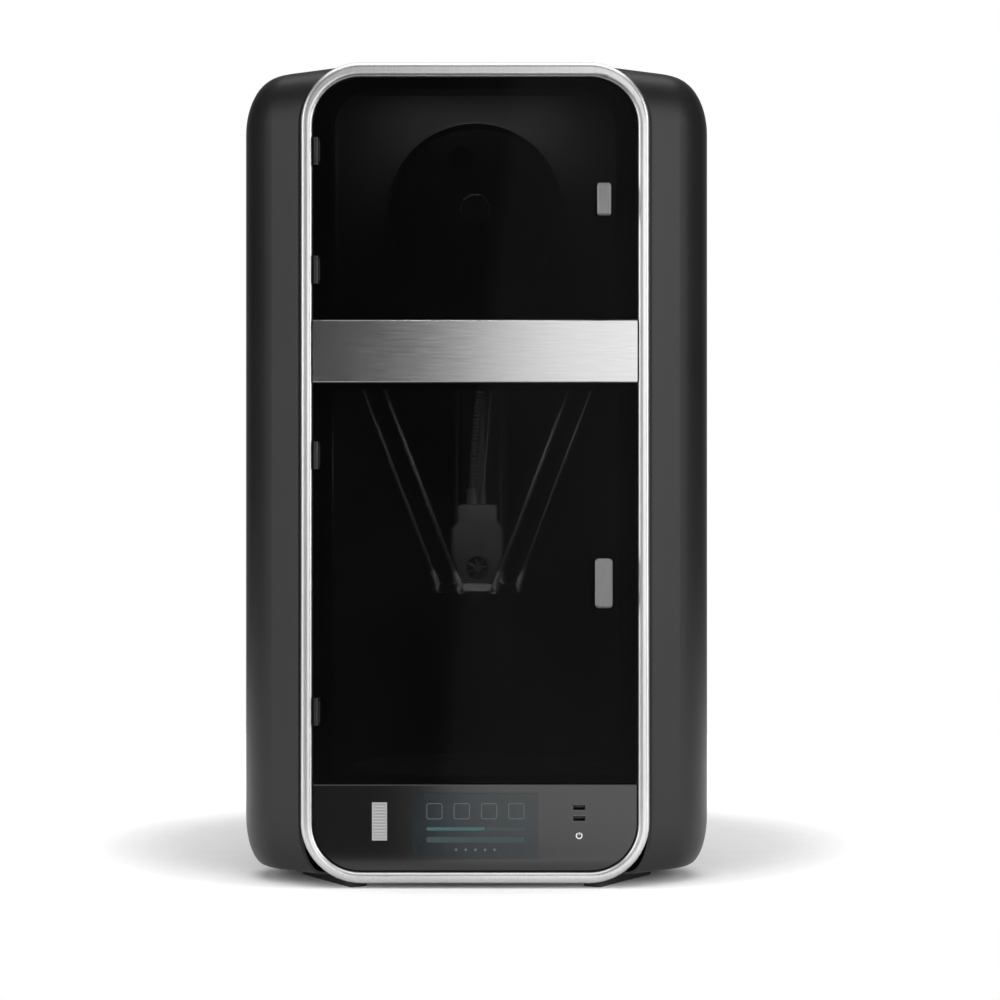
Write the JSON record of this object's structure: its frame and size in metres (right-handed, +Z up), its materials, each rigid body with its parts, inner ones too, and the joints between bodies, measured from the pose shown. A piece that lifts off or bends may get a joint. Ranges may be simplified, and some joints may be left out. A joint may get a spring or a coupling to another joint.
{
  "type": "delta printer",
  "caption": "Tall enclosed delta printer: rounded black casing, metal front frame, tinted glass doors, metal band, touch panel, and a print head hung on arms over a round bed.",
  "frame": {"origin": "on the floor, under the middle of the outer box", "axes": "+Z up, the front with its doors faces -Y, +X to the viewer's right"},
  "size_m": [0.595, 0.564, 1.03],
  "materials": {
    "frame_metal": "satin brushed",
    "band_metal": "brushed",
    "black_sheet": "matte",
    "casing_black": "fine textured",
    "dark_glass": "tinted",
    "panel_black": "gloss",
    "screen_glass": "gloss",
    "light_plastic": "matte",
    "steel": "machined",
    "handle_metal": "brushed",
    "hinge_metal": "satin",
    "rubber_black": "matte",
    "profile_metal": "anodised",
    "machined_aluminium": "machined",
    "motor_black": "satin",
    "belt_rubber": "ribbed",
    "arm_black": "woven satin",
    "head_grey": "satin",
    "hot_metal": "machined",
    "plate_coat": "textured coating",
    "bed_aluminium": "machined",
    "spool_plastic": "satin",
    "filament_plastic": "wound strand",
    "holder_plastic": "matte",
    "supply_case": "satin",
    "surround_black": "matte",
    "port_metal": "satin",
    "board_green": "solder mask",
    "fan_plastic": "matte",
    "hose_black": "ribbed",
    "cable_black": "matte",
    "screw_steel": "blackened",
    "button_plastic": "gloss",
    "switch_plastic": "gloss"
  },
  "bodies": {
    "printer": {"front_frame": "frame_metal", "door_surround": "surround_black", "mid_band": "band_metal", "door_seals": "rubber_black", "hinge_brackets": "hinge_metal", "control_panel": "panel_black", "touch_screen": "screen_glass", "side_grille": "light_plastic", "usb_sockets": "port_metal", "left_side_cover": "casing_black", "right_side_cover": "casing_black", "rear_cover": "casing_black", "roof_panel": "casing_black", "base_pan": "black_sheet", "foot_bars": "rubber_black", "tower_profiles": "profile_metal", "linear_rails": "steel", "corner_brackets": "black_sheet", "tower_motors": "motor_black", "drive_belts": "belt_rubber", "belt_idlers": "steel", "deck_plate": "black_sheet", "heated_bed": "bed_aluminium", "build_plate": "plate_coat", "chamber_panels": "black_sheet", "spool_box": "fan_plastic", "spool_holder": "holder_plastic", "power_supply": "supply_case", "control_board": "board_green", "blower_housing": "fan_plastic", "exhaust_fan_frame": "fan_plastic", "mains_inlet": "switch_plastic", "air_hose": "hose_black", "head_cable": "cable_black", "cover_screws": "screw_steel"},
    "upper_door": {"upper_door_glass": "dark_glass", "upper_door_handle": "handle_metal", "upper_door_hinges": "hinge_metal"},
    "lower_door": {"lower_door_glass": "dark_glass", "lower_door_handle": "handle_metal", "lower_door_hinges": "hinge_metal"},
    "button": {"power_button": "button_plastic"},
    "rocker": {"rocker_switch": "switch_plastic"},
    "reel": {"spool": "spool_plastic", "filament": "filament_plastic"},
    "slider_a": {"carriage_a": "machined_aluminium", "arms_a": "arm_black"},
    "slider_b": {"carriage_b": "machined_aluminium", "arms_b": "arm_black"},
    "slider_c": {"carriage_c": "machined_aluminium", "arms_c": "arm_black"},
    "print_head": {"effector_plate": "machined_aluminium", "head_shroud": "head_grey", "hotend": "hot_metal", "extruder": "head_grey"},
    "head_fan": {"head_fan_rotor": "fan_plastic"},
    "exhaust_fan": {"exhaust_fan_rotor": "fan_plastic"},
    "pulley_a": {"motor_pulley_a": "steel"},
    "pulley_b": {"motor_pulley_b": "steel"},
    "pulley_c": {"motor_pulley_c": "steel"}
  },
  "joints": [
    {"name": "upper_door_hinge", "type": "hinge", "parent": "printer", "child": "upper_door", "pos_m": [-0.1984, -0.264, 0.86], "axis": [0, 0, -1], "range_deg": [0, 115]},
    {"name": "lower_door_hinge", "type": "hinge", "parent": "printer", "child": "lower_door", "pos_m": [-0.1984, -0.264, 0.38], "axis": [0, 0, -1], "range_deg": [0, 115]},
    {"name": "head_lift", "type": "slide", "parent": "printer", "child": "print_head", "axis": [0, 0, 1], "range_m": [-0.209, 0.22], "deforming": ["air_hose", "head_cable"]},
    {"name": "carriage_a_slide", "type": "slide", "parent": "printer", "child": "slider_a", "axis": [0, 0, 1], "range_m": [-0.209, 0.22]},
    {"name": "carriage_b_slide", "type": "slide", "parent": "printer", "child": "slider_b", "axis": [0, 0, 1], "range_m": [-0.209, 0.22]},
    {"name": "carriage_c_slide", "type": "slide", "parent": "printer", "child": "slider_c", "axis": [0, 0, 1], "range_m": [-0.209, 0.22]},
    {"name": "pulley_a_spin", "type": "hinge", "parent": "printer", "child": "pulley_a", "pos_m": [0.033, 0.197, 0.066], "axis": [1, 0, 0], "range_deg": [-1300, 1300]},
    {"name": "pulley_b_spin", "type": "hinge", "parent": "printer", "child": "pulley_b", "pos_m": [-0.22002, -0.12692, 0.066], "axis": [-0.5, 0.866, 0], "range_deg": [-1300, 1300]},
    {"name": "pulley_c_spin", "type": "hinge", "parent": "printer", "child": "pulley_c", "pos_m": [0.22002, -0.12692, 0.066], "axis": [-0.5, -0.866, 0], "range_deg": [-1300, 1300]},
    {"name": "spool_spin", "type": "hinge", "parent": "printer", "child": "reel", "pos_m": [0, -0.218, 0.848], "axis": [0, 1, 0], "continuous": true},
    {"name": "head_fan_spin", "type": "hinge", "parent": "print_head", "child": "head_fan", "pos_m": [0, -0.069, 0.394], "axis": [0, 1, 0], "continuous": true},
    {"name": "exhaust_fan_spin", "type": "hinge", "parent": "printer", "child": "exhaust_fan", "pos_m": [0, 0.252, 0.88], "axis": [0, 1, 0], "continuous": true},
    {"name": "power_button_press", "type": "slide", "parent": "printer", "child": "button", "axis": [0, 1, 0], "range_m": [0, 0.0012], "stiffness_N_per_m": 300},
    {"name": "rocker_tip", "type": "hinge", "parent": "printer", "child": "rocker", "pos_m": [0.025, 0.265, 0.078], "axis": [1, 0, 0], "range_deg": [0, 14]}
  ],
  "couplings": [
    {"joint": "carriage_a_slide", "follows": "head_lift", "ratio": 1},
    {"joint": "carriage_b_slide", "follows": "head_lift", "ratio": 1},
    {"joint": "carriage_c_slide", "follows": "head_lift", "ratio": 1},
    {"joint": "pulley_a_spin", "follows": "head_lift", "rad_per_m": -97.087},
    {"joint": "pulley_b_spin", "follows": "head_lift", "rad_per_m": -97.087},
    {"joint": "pulley_c_spin", "follows": "head_lift", "rad_per_m": -97.087}
  ]
}
